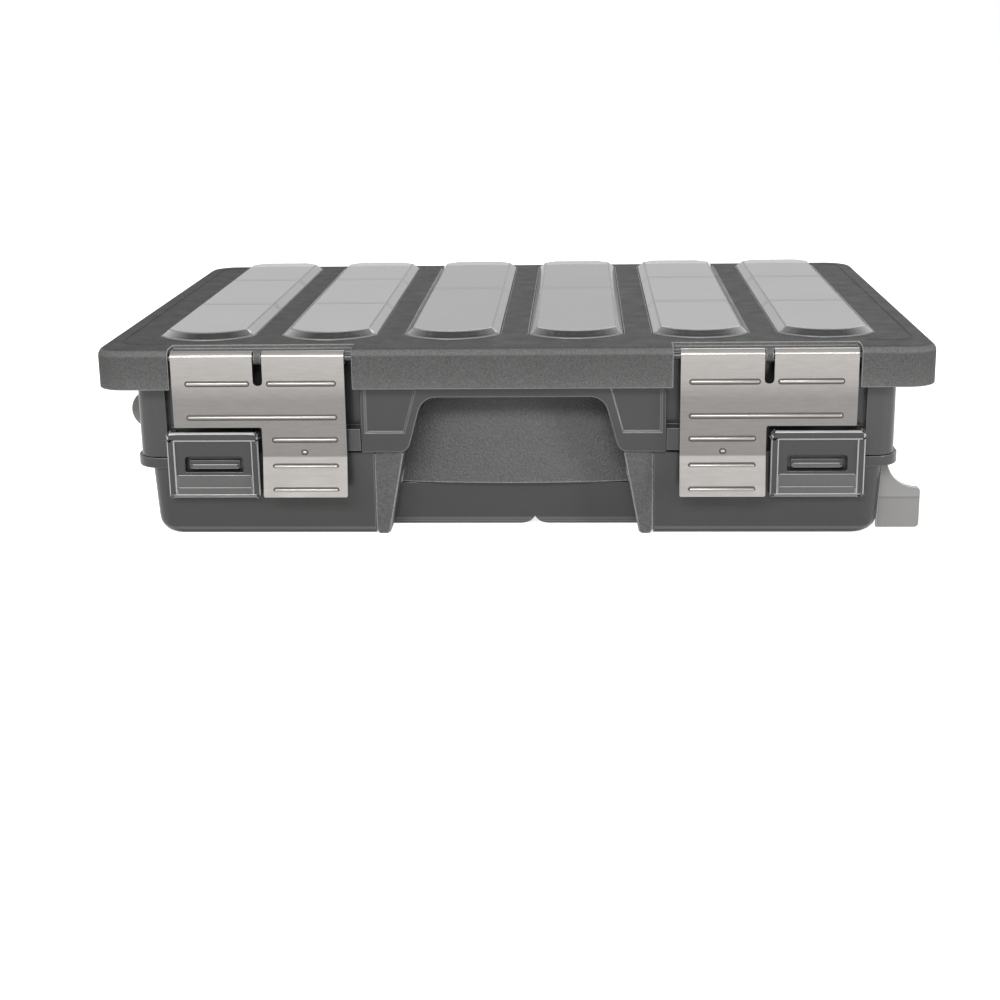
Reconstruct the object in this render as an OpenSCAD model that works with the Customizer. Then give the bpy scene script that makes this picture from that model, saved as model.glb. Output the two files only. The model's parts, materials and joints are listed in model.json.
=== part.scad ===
// Flat two-deck tackle case: a deep tub, a tray deck hinged on it and a lid hinged on the tray.
// The front faces -Y, the hinges are at the back and the floor is at Z = 0.

/* [Lid] */
// Width of the lid, side to side
lid_w = 349; // [340:1:356]
// Depth of the lid, front edge to back edge
lid_d = 250; // [248:1:256]
// Height of the lid's top face above the floor
lid_top_z = 81.4; // [80.5:0.1:85]
// Height of the lid's skirt
skirt_h = 17; // [15:0.5:18]
// Corner radius of the lid at the front
lid_front_r = 12; // [8:1:14]
// Corner radius of the lid at the back
lid_back_r = 14; // [8:1:16]
// Rounding of the lid's top edge
lid_edge_r = 3.5; // [2:0.5:5]
// Thickness of the moulded walls
wall = 2.2; // [1.8:0.1:2.4]

/* [Windows] */
// Distance from the lid's side to the centre line of the outermost window
window_side_in = 42.25; // [38:0.25:50]
// Width of a window's raised flat
window_w = 34; // [30:0.5:36]
// Width of the sloping edge round the flat
window_slope = 3.25; // [2:0.25:4]
// Height of the flat above the lid
window_rise = 3; // [1.5:0.25:4]
// Radius of the window's round front end
window_front_r = 20; // [18:0.5:24]
// Distance from the lid's front edge to the foremost point of the flat
window_front_in = 24.5; // [24:0.5:34]
// Distance from the lid's back edge to the back end of the flat
window_back_in = 11; // [10:0.5:20]
// Size of the corners cut off at the back end
window_clip = 6; // [3:0.5:9]
// Thickness of the clear pane
pane = 1.6; // [1.2:0.1:2]

/* [Tray deck] */
// How far the lid reaches past the tray at each side
lid_side_reach = 15; // [13:0.5:17]
// How far the lid reaches past the tray and the tub at the front and back
lid_end_reach = 7; // [6.6:0.1:7.5]
// Corner radius of the tray body
tray_corner_r = 8; // [6:0.5:12]
// Height of the tray's floor above the tub's rim, top side
tray_floor_rise = 13; // [12:0.1:17]
// How far the front recess reaches past the lid latch's outer edge
recess_margin = 5.1; // [4.6:0.1:6]
// Depth of that recess
recess_depth = 4.5; // [4.5:0.1:5]
// Width of the opening behind the handle
bay_w = 123.6; // [122:0.2:123.6]
// Depth of the tray wall behind the handle, from the body's front
tray_bay_depth = 21; // [20.5:0.5:24]
// Thickness of the partition walls
partition_t = 1.6; // [1.2:0.1:2]
// Thickness of the loose dividers
divider_t = 1.4; // [1:0.1:1.6]
// Distance from the body's front to the tray's first divider slot
slot_front_in = 55; // [50:0.2:62]
// Distance from the last divider slot to the body's back
slot_back_in = 28.2; // [20:0.2:36]

/* [Tub] */
// How far the tray reaches past the tub at each side
tray_side_reach = 4; // [2.4:0.1:6]
// Height of the tub's rim
rim_z = 33.9; // [33:0.1:34.4]
// Rounding of the tub's bottom edges
tub_edge_r = 7; // [4:0.5:8]
// Rounding of the bottom edges at the front and back
tub_front_edge_r = 3; // [2.6:0.2:4]
// Corner radius of the tub in plan
tub_corner_r = 9; // [8.5:0.5:12]
// How far each side leans in from the rim to the bottom
tub_draft = 1.5; // [0:0.25:2]
// How far the side ledges of the rim reach past the tray
ledge_reach = 2; // [0:0.1:4]
// Thickness of those ledges
flange_h = 4.5; // [3:0.25:6]
// How much narrower the opening under the grip is than the one behind the handle, at each side
bay_step = 2.8; // [2.3:0.1:4]
// Depth of that opening
tub_bay_depth = 14.5; // [13:0.25:15]
// X of the middle partition and of the fold in the floor under it
fold_x = 8.5; // [-20:0.5:20]
// Distance from the middle to the tub's outer partitions
tub_wall_x = 76; // [70:0.5:80]
// Width of the fold
fold_w = 13; // [10:0.5:16]
// Height of the fold
fold_h = 3.6; // [2:0.2:5]
// Y of the tub's divider slots
tub_slot_y = 12; // [0:0.5:30]

/* [Grip and handle] */
// Height of the grip's lower edge
grip_bottom_z = 19.2; // [17.4:0.2:21]
// Height of the grip
grip_h = 44.2; // [40:0.2:45.6]
// Thickness of the grip
grip_t = 2.4; // [1.8:0.1:2.6]
// Radius of the grip's forward bulge
grip_bulge_r = 369; // [300:1:600]
// Distance from the body's front to the middle of the grip's lower edge
grip_in = 11; // [10:0.1:11.4]
// Backward lean of the grip in degrees
grip_lean = 5; // [3:0.5:6]
// Width of each of the grip's legs at the floor
leg_foot_t = 5; // [4:0.5:7]
// Width of each leg at its top
leg_top_t = 12.8; // [10:0.2:14]
// How far the handle frame stands in front of the body
frame_proud = 2; // [1.5:0.1:2.2]
// Height of the handle frame's lower ends above the tub's rim
frame_foot_rise = 2.3; // [1.7:0.1:4]
// Height of the hand opening, from the frame's lower ends
hand_h = 23.5; // [21:0.1:26]
// Width of the hand opening at its foot
hand_foot_w = 88.6; // [84:0.2:92]
// Depth of the sunk panels beside the hand opening
panel_depth = 0.8; // [0.4:0.1:1]
// Slant of the hand opening's sides in degrees
hand_slant = 15.5; // [10:0.5:18]
// Corner radius of the hand opening
hand_r = 7.5; // [6:0.5:9]

/* [Lid latches] */
// Distance from the handle frame to the latch's inner edge
latch_in_room = 5.2; // [5:0.1:5.6]
// Distance from the lid's side to the latch's outer edge
latch_out_room = 33.1; // [32.5:0.1:34]
// Width of the latch's lower half
latch_neck_w = 35.4; // [31:0.1:35.8]
// Thickness of the latch plate
latch_t = 1.3; // [1:0.1:1.6]
// How far the plate stands in front of the lid's front face
latch_proud = 1; // [0.6:0.1:1.2]
// Radius of the rolled top edge
latch_roll_r = 3; // [2.8:0.1:3.1]
// Depth of the latch's hinge bar below the lid's top
latch_axis_drop = 3.8; // [3.6:0.1:4]
// Height of the wide half, from the bar to its lower edge
latch_wide_h = 28.9; // [26.2:0.1:29.2]
// Height of the narrow half down to the bend where the finger tab begins
latch_neck_h = 12.6; // [11.7:0.1:13.7]
// Height of the finger tab
tab_h = 16.8; // [15:0.1:18]
// How far the finger tab leans out at its lower edge
tab_flare = 3; // [1:0.25:4]
// Radius of the hinge bar
bar_r = 1.5; // [1.2:0.1:1.6]
// Width of the slot round the middle hook
hook_slot_w = 4; // [3.6:0.1:4.4]
// Length of the slot below the hinge bar
hook_slot_h = 11.2; // [8:0.1:14]
// Radius of the raised ribs on the latch
rib_r = 0.8; // [0.5:0.1:1]

/* [Deck latches] */
// Gap between the lid latch's lower half and the deck latch
clasp_in_gap = 2.4; // [2.2:0.1:3.4]
// Gap between the deck latch and the side of the recess
clasp_side_gap = 0.5; // [0.4:0.1:1]
// Depth of the deck latch's pin below the tray's floor
clasp_axis_drop = 3.3; // [2.9:0.1:3.5]
// Radius of the barrel round the pin
clasp_roll_r = 2.3; // [2:0.1:2.4]
// Radius of the pin
clasp_pin_r = 1.2; // [1:0.1:1.4]
// Height of the deck latch, from the pin to its lower edge
clasp_h = 26; // [23:0.1:27.6]
// Width of the rails down its two sides
clasp_rail_w = 4.6; // [4.4:0.1:5]
// How far the pin lies in front of the body
clasp_axis_out = 0.6; // [0.5:0.1:0.8]
// Thickness of the deck latch plate
clasp_t = 2; // [1.6:0.1:2.2]
// Width of the deck latch beside the catch window, at each side
clasp_jamb_w = 7.15; // [6.5:0.05:9]
// Height of the catch window
clasp_window_h = 6.6; // [5:0.1:7]
// Depth of the window's lower edge below the tub's rim
clasp_window_drop = 5.4; // [4.9:0.1:5.7]

/* [Hinges] */
// Distance from the middle of the case to each hinge
hinge_x = 95; // [60:1:120]
// Outside radius of the hinge knuckles
knuckle_r = 3.5; // [3:0.1:3.8]
// Radius of the hinge pins
pin_r = 1.5; // [1.2:0.1:1.8]
// Length of a hinge's middle knuckle
knuckle_mid = 14; // [10:1:20]
// Length of a hinge's outer knuckles
knuckle_end = 9; // [6:1:14]
// Height of the lid's hinge axis above the lid's lower edge
lid_axis_rise = 3; // [2.6:0.1:3.4]

/* [Side tabs] */
// Reach of the tub's right side tab past the tub
side_tab_reach = 16.7; // [15:0.1:19]
// Radius of the hollow in the tab's upper edge
side_tab_hollow_r = 12.5; // [10:0.5:13]
// Height of the tab's outer end
side_tab_end_h = 18; // [15:0.5:19]
// Height of that tab
side_tab_h = 27.8; // [24:0.2:29]
// Radius of the round lug on the tray's left side
lug_r = 8.6; // [7:0.2:10]
// Height of the lug's centre above the tray's lower edge
lug_rise = 14.8; // [12:0.2:17]
// Thickness of both
tab_t = 2; // [1.5:0.1:3]

/* [Hidden] */

// Clearances and the overrun of every cut
overrun = 1;
seat_gap = 0.3;
run_gap = 0.08;
hold_gap = 0.03;
window_gap = 0.1;
side_gap = 0.4;
sheet = 0.05;
flat_edge = 0.2;
arc_fn = 48;
round_fn = 32;
edge_steps = 5;
arc_steps = 8;

// Levels and planes that the pieces share
window_count = 6;
window_pitch = (lid_w - 2 * window_side_in) / (window_count - 1);
lid_front = -lid_d / 2;
body_d = lid_d - 2 * lid_end_reach;
body_front = -body_d / 2;
body_back = body_d / 2;
tray_w = lid_w - 2 * lid_side_reach;
tub_w = tray_w - 2 * tray_side_reach;
flange_w = tray_w + 2 * ledge_reach;
tray_floor_z = rim_z + tray_floor_rise;
window_front_y = lid_front + window_front_in;
window_back_y = -lid_front - window_back_in;
latch_front = lid_front - latch_proud;
case_front = latch_front - tab_flare;
hinge_y = -case_front - knuckle_r;
tray_bottom_z = rim_z + seat_gap;
deck_axis_z = rim_z + seat_gap / 2;
lid_under_z = lid_top_z - wall;
skirt_z = lid_top_z - skirt_h;
lid_axis_z = skirt_z + lid_axis_rise;
tray_top_z = lid_under_z - seat_gap;
recess_y = body_front + recess_depth;
tray_bay_y = body_front + tray_bay_depth;
tub_bay_y = body_front + tub_bay_depth;
bay_half = bay_w / 2;
tub_bay_w = bay_w - 2 * bay_step;
frame_half = bay_half + wall;
frame_foot_z = rim_z + frame_foot_rise;
frame_arch_z = frame_foot_z + hand_h;
grip_y = body_front + grip_in;
grip_top_z = grip_bottom_z + grip_h;
leg_foot_w = tub_bay_w - 2 * leg_foot_t;
leg_top_w = tub_bay_w - 2 * leg_top_t;
lug_z = tray_bottom_z + lug_rise;
frame_front = body_front - frame_proud;
foot_round_r = 5;
frame_rib_in = 7.3;
panel_rise = 8.8;
panel_rim = 3.9;
panel_cover = 2;
bay_chamfer = 1.5;
floor_t = 2;
partition_top_z = tray_top_z - seat_gap / 2;
tub_partition_top_z = tray_floor_z - floor_t - 2 * seat_gap;

// Lid latch
latch_in_x = frame_half + latch_in_room;
latch_out_x = lid_w / 2 - latch_out_room;
latch_neck_x = latch_in_x + latch_neck_w;
hook_x = (latch_in_x + latch_out_x) / 2;
latch_axis_z = lid_top_z - latch_axis_drop;
latch_step_z = latch_axis_z - latch_wide_h;
latch_bend_z = latch_step_z - latch_neck_h;
latch_foot_z = latch_bend_z - tab_h;
hook_slot_z = latch_axis_z - hook_slot_h;
recess_half_w = latch_out_x + recess_margin;

// Lid pocket over each latch
cheek_t = 2;
pocket_side_gap = 1.2;
pocket_back_gap = 0.5;
pocket_depth = 1.8;
cheek_in_x = frame_half + seat_gap;
pocket_in_x = cheek_in_x + cheek_t;
pocket_out_x = latch_out_x + pocket_side_gap;
pocket_y = recess_y + seat_gap;
pocket_floor_z = lid_top_z - pocket_depth;
pocket_floor_t = 1.6;
latch_axis_y = latch_front + latch_roll_r;
pocket_lip_y = latch_axis_y + latch_roll_r + pocket_back_gap;
cheek_drop = latch_roll_r + 1;
recess_top_z = pocket_floor_z - pocket_floor_t - seat_gap;

// Keeper for the lid latch, with the catch below it
keeper_h = 9.4;
keeper_rise = 1.3;
keeper_room = 3.2;
keeper_out_x = latch_neck_x - cheek_t;
keeper_bottom_z = latch_bend_z + keeper_rise;
keeper_top_z = keeper_bottom_z + keeper_h;
keeper_front = latch_front + latch_t + keeper_room;
catch_h = 2;
catch_margin = 3;

// Places of the ribs on the lid latch
rib_above_step = 1.3;
rib_above_slot = 0.9;
rib_pitch_share = 0.57;

// Deck latch
clasp_out_x = recess_half_w - clasp_side_gap;
clasp_in_x = latch_neck_x + clasp_in_gap;
clasp_window_w = clasp_out_x - clasp_in_x - 2 * clasp_jamb_w;
clasp_axis_z = tray_floor_z - clasp_axis_drop;
clasp_foot_z = clasp_axis_z - clasp_h;
clasp_window_z = rim_z - clasp_window_drop;
clasp_axis_y = body_front - clasp_axis_out;
clasp_gap_y = 1.3;
clasp_back = clasp_axis_y - clasp_gap_y;
clasp_front = clasp_back - clasp_t;
rail_proud = 1.3;
rail_back = clasp_axis_y - clasp_roll_r - seat_gap;
ear_t = 3;
clasp_mid_x = (clasp_in_x + clasp_out_x) / 2;
clasp_barrel_half = (clasp_out_x - clasp_in_x) / 2 - seat_gap - ear_t - side_gap;
clasp_step_h = 0.8;
tongue_h = 3;
tongue_margin = 1.6;

// Divider slots
guide_w = 1.2;
guide_proud = 0.8;
end_gap = 0.2;
slot_half = divider_t / 2 + end_gap;
slot_count = 5;
slot_pitch = (body_d - slot_front_in - slot_back_in) / (slot_count - 1);
tray_slots = [for (i = [0:slot_count - 1]) body_front + slot_front_in + i * slot_pitch];
tub_slots = [for (i = [-1:1]) tub_slot_y + i * slot_pitch];
tray_inner_half = tray_w / 2 - wall;
tub_inner_half = tub_w / 2 - wall;
tray_wall_xs = [for (i = [-2:2]) i * window_pitch];
tub_wall_xs = [-tub_wall_x, fold_x, tub_wall_x];
tray_edges = concat([-tray_inner_half], tray_wall_xs, [tray_inner_half]);
tub_edges = concat([-tub_inner_half + tub_draft], tub_wall_xs, [tub_inner_half - tub_draft]);
// Rounding of the side tab's outer end
tab_tip_r = 2;
// Column and slot of each tray divider
tray_divider_places = [[0, 2], [0, 4], [1, 2], [1, 4], [2, 3], [3, 3], [4, 2], [4, 4], [5, 2], [5, 4]];

// Outlines in plan
module corner_discs(w, d, front_r, back_r) {
    for (sx = [-1, 1]) {
        translate([sx * (w / 2 - front_r), -d / 2 + front_r]) circle(r = front_r, $fn = arc_fn);
        translate([sx * (w / 2 - back_r), d / 2 - back_r]) circle(r = back_r, $fn = arc_fn);
    }
}

module rounded_plan(w, d, front_r, back_r) {
    hull() corner_discs(w, d, front_r, back_r);
}

// The tray's outline, or the room inside it when inset by the wall
module tray_plan(inset) {
    r = tray_corner_r - inset;
    difference() {
        rounded_plan(tray_w - 2 * inset, body_d - 2 * inset, r, r);
        translate([-recess_half_w - inset, body_front - overrun])
            square([2 * (recess_half_w + inset), recess_depth + inset + overrun]);
        translate([-bay_half - inset, body_front - overrun])
            square([2 * (bay_half + inset), tray_bay_depth + inset + overrun]);
    }
}

// How far a bottom edge of this rounding has drawn in at height z
function drawn_in(edge, z) = z < edge ? edge * (1 - sqrt(1 - pow(1 - z / edge, 2))) : 0;

// A block whose sides lean in and whose bottom edges are rounded, more at the sides than at the front
module tub_block(w, d, h, corner, edge, front_edge) {
    hull() for (sx = [-1, 1], sy = [-1, 1]) {
        for (i = [0:edge_steps]) {
            z = edge * (1 - cos(90 * i / edge_steps));
            r = corner - drawn_in(front_edge, z);
            translate([sx * (w / 2 - tub_draft - drawn_in(edge, z) - r),
                sy * (d / 2 - drawn_in(front_edge, z) - r), z]) cylinder(h = sheet, r = r, $fn = round_fn);
        }
        translate([sx * (w / 2 - corner), sy * (d / 2 - corner), h - sheet])
            cylinder(h = sheet, r = corner, $fn = round_fn);
    }
}

// The lid's outside, rounded along its top edge
module lid_block() {
    hull() {
        for (i = [0:edge_steps - 1]) {
            a = 90 * i / edge_steps;
            drop = lid_edge_r * (1 - sin(a));
            translate([0, 0, lid_top_z - lid_edge_r * (1 - cos(a)) - sheet])
                linear_extrude(sheet)
                    corner_discs(lid_w - 2 * drop, lid_d - 2 * drop, lid_front_r - drop, lid_back_r - drop);
        }
        translate([0, 0, skirt_z]) linear_extrude(skirt_h - lid_edge_r)
            corner_discs(lid_w, lid_d, lid_front_r, lid_back_r);
    }
}

// A round bar along X, centred on x, y, z
module bar(x, y, z, length, r) {
    translate([x, y, z]) rotate([0, 90, 0]) cylinder(h = length, r = r, center = true, $fn = arc_fn);
}

// A box from its lowest to its highest corner
module span(low, high) {
    translate(low) cube(high - low);
}

// A box on one side of the case: side is -1 or 1 and the X values count outward
module side_span(side, x1, x2, y1, y2, z1, z2) {
    low_x = min(side * x1, side * x2);
    high_x = max(side * x1, side * x2);
    span([low_x, y1, z1], [high_x, y2, z2]);
}

// The tub: floor, walls, side ledges, front bay and rear knuckles
module tub_shell() {
    color([0.30, 0.30, 0.30]) difference() {
        union() {
            difference() {
                tub_block(tub_w, body_d, rim_z, tub_corner_r, tub_edge_r, tub_front_edge_r);
                difference() {
                    translate([0, 0, wall])
                        tub_block(tub_w - 2 * wall, body_d - 2 * wall, rim_z - wall + overrun,
                            tub_corner_r - wall, tub_edge_r - wall, tub_front_edge_r - wall);
                    span([-tub_bay_w / 2 - wall, body_front - overrun, 0],
                        [tub_bay_w / 2 + wall, tub_bay_y + wall, rim_z]);
                    floor_fold(wall);
                }
            }
            rim_ledge();
            front_shelf();
            for (side = [-1, 1]) {
                tongue(side);
                hinge_ear(side * hinge_x, knuckle_mid, deck_axis_z, -1);
            }
        }
        span([-tub_bay_w / 2, body_front - overrun, -overrun], [tub_bay_w / 2, tub_bay_y, rim_z + overrun]);
        grip_bed();
        floor_fold(0);
        bay_edge();
        for (side = [-1, 1])
            bar(side * hinge_x, hinge_y, deck_axis_z, knuckle_mid + overrun, pin_r + run_gap);
    }
}

// The fold along the tub's floor: two hollow arcs that meet in a ridge, grown by the given amount
module floor_fold(grow) {
    r = (pow(fold_w / 2, 2) + pow(fold_h, 2)) / (2 * fold_h);
    translate([fold_x, body_back + overrun, 0]) rotate([90, 0, 0]) linear_extrude(body_d + 2 * overrun)
        difference() {
            translate([-fold_w / 2, -overrun]) square([fold_w, overrun + fold_h + grow]);
            for (s = [-1, 1]) translate([s * fold_w / 2, r]) circle(r = r - grow, $fn = 2 * arc_fn);
        }
}

// The bevel along the lower edge of the wall behind the grip
module bay_edge() {
    translate([-tub_bay_w / 2, tub_bay_y, 0]) rotate([90, 0, 90]) linear_extrude(tub_bay_w)
        polygon([[-overrun, -overrun], [bay_chamfer + overrun, -overrun], [-overrun, bay_chamfer + overrun]]);
}

// The ledges that stand out along the tub's sides, and round its front corners
module rim_ledge() {
    translate([0, 0, rim_z - flange_h]) linear_extrude(flange_h) difference() {
        rounded_plan(flange_w, body_d + frame_proud, lid_front_r, lid_front_r);
        rounded_plan(tub_w - 2 * wall, body_d - 2 * wall, tub_corner_r - wall, tub_corner_r - wall);
        translate([-clasp_out_x - side_gap, body_front - frame_proud - overrun])
            square([2 * (clasp_out_x + side_gap), frame_proud + wall + overrun]);
        translate([-tub_w / 2, body_back]) square([tub_w, frame_proud + overrun]);
    }
}

// The inward shelf that closes the step between the tub and the recessed tray front, with the lip that
// stands at its front edge under the handle frame and the latches
module front_shelf() {
    for (side = [-1, 1]) {
        side_span(side, tub_bay_w / 2, recess_half_w, body_front, recess_y + wall, rim_z - wall, rim_z);
        side_span(side, tub_bay_w / 2, recess_half_w - side_gap, body_front, body_front + wall,
            rim_z - wall, frame_foot_z - seat_gap);
    }
    span([-tub_bay_w / 2, tub_bay_y, rim_z - wall], [tub_bay_w / 2, tray_bay_y + wall, rim_z]);
}

// The tongue that a deck latch closes over
module tongue(side) {
    x1 = clasp_mid_x - clasp_window_w / 2 + tongue_margin;
    x2 = clasp_mid_x + clasp_window_w / 2 - tongue_margin;
    z1 = clasp_window_z + tongue_margin;
    side_span(side, x1, x2, clasp_back + seat_gap, body_front + wall / 2, z1, z1 + tongue_h);
}

// A knuckle on the rear hinge line with the ear that carries it, above or below the axis
module hinge_ear(x, length, z, above) {
    bar(x, hinge_y, z, length, knuckle_r);
    low = above > 0 ? z : z - knuckle_r;
    span([x - length / 2, body_back - wall / 2, low], [x + length / 2, hinge_y, low + knuckle_r]);
}

// The leaning cylinder that the grip's curved faces lie on, reduced by the given amount
module grip_cylinder(inset) {
    translate([0, grip_y, grip_bottom_z]) rotate([-grip_lean, 0, 0]) translate([0, grip_bulge_r, 0])
        cylinder(h = 2 * grip_top_z + inset, r = grip_bulge_r - inset, center = true, $fn = 4 * arc_fn);
}

// The room that the tub's front wall and shelf leave for the grip
module grip_bed() {
    half = leg_foot_w / 2 + seat_gap;
    difference() {
        span([-half, tub_bay_y - overrun, grip_bottom_z - seat_gap], [half, tray_bay_y, rim_z + overrun]);
        grip_cylinder(grip_t + seat_gap);
    }
}

// The textured grip with its two legs
module grip() {
    color([0.36, 0.36, 0.36]) union() {
        for (side = [-1, 1]) grip_leg(side);
        intersection() {
            difference() {
                grip_cylinder(0);
                grip_cylinder(grip_t);
            }
            span([-leg_foot_w / 2, body_front, grip_bottom_z],
                [leg_foot_w / 2, tray_bay_y - seat_gap, grip_top_z]);
        }
    }
}

module grip_leg(side) {
    top_z = frame_foot_z - seat_gap;
    foot_chamfer = grip_t;
    out_x = tub_bay_w / 2;
    scale([side, 1, 1]) translate([0, tub_bay_y, 0]) rotate([90, 0, 0]) linear_extrude(tub_bay_depth)
        polygon([[out_x, top_z], [out_x, foot_chamfer], [out_x - foot_chamfer / 2, 0],
            [leg_foot_w / 2, 0], [leg_foot_w / 2 - foot_chamfer / 2, foot_chamfer / 2],
            [leg_top_w / 2, top_z]]);
}

// Guide ribs for the loose dividers, on both faces of a partition at x
module guide_ribs(x, slots, z1, z2) {
    half = partition_t / 2 + guide_proud;
    for (y = slots, s = [-1, 1]) translate([x, y + s * (slot_half + guide_w / 2), 0])
        span([-half, -guide_w / 2, z1], [half, guide_w / 2, z2]);
}

// A plate along Y at x, with its outline given in Y and Z
module upright(x, outline) {
    translate([x - partition_t / 2, 0, 0]) rotate([90, 0, 90]) linear_extrude(partition_t) polygon(outline);
}

// Partition i of the tub, 1 to 3. Its upper part fits inside the tray deck's lower edge.
module tub_wall(i) {
    x = tub_wall_xs[i - 1];
    in_bay = abs(x) < tub_bay_w / 2 + wall;
    front = in_bay ? tub_bay_y + wall : body_front + wall;
    upper_front = (in_bay ? tray_bay_y : recess_y) + wall + overrun;
    back = body_back - wall;
    foot_z = wall + (x == fold_x ? fold_h : 0);
    step_z = rim_z - wall - seat_gap;
    cut = tub_front_edge_r - wall;
    color([0.42, 0.42, 0.42]) union() {
        upright(x, [[front, foot_z + cut], [front + cut, foot_z], [back - cut, foot_z], [back, foot_z + cut],
            [back, step_z], [back - overrun, step_z], [back - overrun, tub_partition_top_z],
            [upper_front, tub_partition_top_z], [upper_front, step_z], [front, step_z]]);
        guide_ribs(x, tub_slots, foot_z, tub_partition_top_z - guide_w);
    }
}

// Loose divider i of the tub, 1 to 4, one in each column
module tub_divider(i) {
    x1 = tub_edges[i - 1] + (i == 1 ? 0 : partition_t / 2) + end_gap;
    x2 = tub_edges[i] - (i == 4 ? 0 : partition_t / 2) - end_gap;
    cut = fold_w / 2 + wall;
    top_z = tub_partition_top_z - guide_w;
    color([0.5, 0.5, 0.5]) translate([0, tub_slots[1] + divider_t / 2, 0]) rotate([90, 0, 0])
        linear_extrude(divider_t)
            polygon([[x1, wall + cut], [x1 + cut, wall], [x2 - cut, wall], [x2, wall + cut], [x2, top_z],
                [x1, top_z]]);
}

// The tab on the tub's right side, with a hollow upper edge. Its root follows the leaning side.
module side_tab() {
    y = body_front + tub_corner_r;
    low_x = tub_w / 2 - tub_draft + hold_gap;
    high_x = low_x + tub_draft * (side_tab_h - tub_edge_r) / (rim_z - tub_edge_r);
    hollow_x = tub_w / 2 + side_tab_reach - tab_tip_r;
    color([0.62, 0.62, 0.62]) translate([0, y + tab_t, 0]) rotate([90, 0, 0]) linear_extrude(tab_t)
        difference() {
            union() {
                polygon([[low_x, 0], [hollow_x, 0], [hollow_x, side_tab_h], [high_x, side_tab_h],
                    [low_x, tub_edge_r]]);
                hull() for (z = [tab_tip_r, side_tab_end_h - tab_tip_r])
                    translate([hollow_x, z]) circle(r = tab_tip_r, $fn = round_fn);
            }
            translate([hollow_x, side_tab_end_h + side_tab_hollow_r])
                circle(r = side_tab_hollow_r, $fn = arc_fn);
        }
}

// The tray deck's outer walls, with the latch recess, keepers, latch ears and rear knuckles
module tray_shell() {
    color([0.38, 0.38, 0.38]) difference() {
        union() {
            translate([0, 0, tray_bottom_z]) linear_extrude(tray_top_z - tray_bottom_z) difference() {
                tray_plan(0);
                tray_plan(wall);
            }
            for (side = [-1, 1]) {
                keeper(side);
                clasp_ears(side);
                outer_guides(side);
                for (s = [-1, 1])
                    hinge_ear(side * hinge_x + s * (knuckle_mid / 2 + side_gap + knuckle_end / 2),
                        knuckle_end, deck_axis_z, 1);
                hinge_ear(side * hinge_x, knuckle_mid, lid_axis_z, -1);
            }
        }
        for (side = [-1, 1]) {
            side_span(side, frame_half, recess_half_w, body_front - overrun, recess_y + wall, recess_top_z,
                tray_top_z + overrun);
            bar(side * clasp_mid_x, clasp_axis_y, clasp_axis_z, clasp_out_x - clasp_in_x,
                clasp_pin_r + hold_gap);
            bar(side * hinge_x, hinge_y, deck_axis_z, knuckle_mid + 2 * (side_gap + knuckle_end) + overrun,
                pin_r + hold_gap);
            bar(side * hinge_x, hinge_y, lid_axis_z, knuckle_mid + overrun, pin_r + run_gap);
        }
    }
}

// The tray deck's floor, a panel that its walls close round
module tray_floor() {
    color([0.38, 0.38, 0.38]) translate([0, 0, tray_floor_z - floor_t]) linear_extrude(floor_t)
        tray_plan(wall + hold_gap);
}

// The hooked ledge that the lid latch's catch lies under
module keeper(side) {
    lip = wall - seat_gap;
    side_span(side, frame_half, keeper_out_x, keeper_front, recess_y + wall / 2, keeper_top_z - wall,
        keeper_top_z);
    side_span(side, frame_half, keeper_out_x, keeper_front, keeper_front + lip, keeper_bottom_z,
        keeper_top_z);
}

// The two ears that hold a deck latch's pin
module clasp_ears(side) {
    for (x = [clasp_in_x + seat_gap, clasp_out_x - seat_gap - ear_t]) {
        bar(side * (x + ear_t / 2), clasp_axis_y, clasp_axis_z, ear_t, clasp_roll_r);
        side_span(side, x, x + ear_t, clasp_axis_y, recess_y + wall / 2, clasp_axis_z - clasp_roll_r,
            clasp_axis_z + clasp_roll_r);
    }
}

// Guide ribs on the inside of a side wall
module outer_guides(side) {
    for (y = tray_slots, s = [-1, 1])
        side_span(side, tray_inner_half - guide_proud, tray_inner_half + wall / 2,
            y + s * (slot_half + guide_w / 2) - guide_w / 2, y + s * (slot_half + guide_w / 2) + guide_w / 2,
            tray_floor_z, partition_top_z - guide_w);
}

// The handle frame: front web with the hand opening, two cheeks and a top shelf
module handle_frame() {
    rib_x = hand_foot_w / 2 + frame_rib_in;
    color([0.42, 0.42, 0.42]) difference() {
        union() {
            translate([0, frame_front + wall, 0]) rotate([90, 0, 0]) linear_extrude(wall) frame_outline();
            for (side = [-1, 1]) {
                side_span(side, bay_half, frame_half, frame_front, recess_y, frame_foot_z, tray_top_z);
                side_span(side, rib_x, rib_x + wall, frame_front + wall / 2, recess_y, frame_foot_z + wall,
                    tray_top_z);
            }
            span([-bay_half, frame_front, tray_top_z - wall], [bay_half, tray_bay_y, tray_top_z]);
        }
        for (side = [-1, 1]) scale([side, 1, 1]) frame_panel();
    }
}

// The sunk panel beside the hand opening, with its inner edge along the opening's slant
module frame_panel() {
    low_z = frame_foot_z + panel_rise;
    high_z = skirt_z + panel_cover;
    low_x = hand_foot_w / 2 + panel_rim - panel_rise * tan(hand_slant);
    translate([0, frame_front + panel_depth, 0]) rotate([90, 0, 0]) linear_extrude(panel_depth + overrun)
        polygon([[low_x, low_z], [bay_half, low_z], [bay_half, high_z],
            [low_x - (high_z - low_z) * tan(hand_slant), high_z]]);
}

// Points of an arc from angle a1 to a2
function arc_points(x, z, r, a1, a2) = [for (i = [0:arc_steps])
    let (a = a1 + (a2 - a1) * i / arc_steps) [x + r * cos(a), z + r * sin(a)]];

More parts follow.
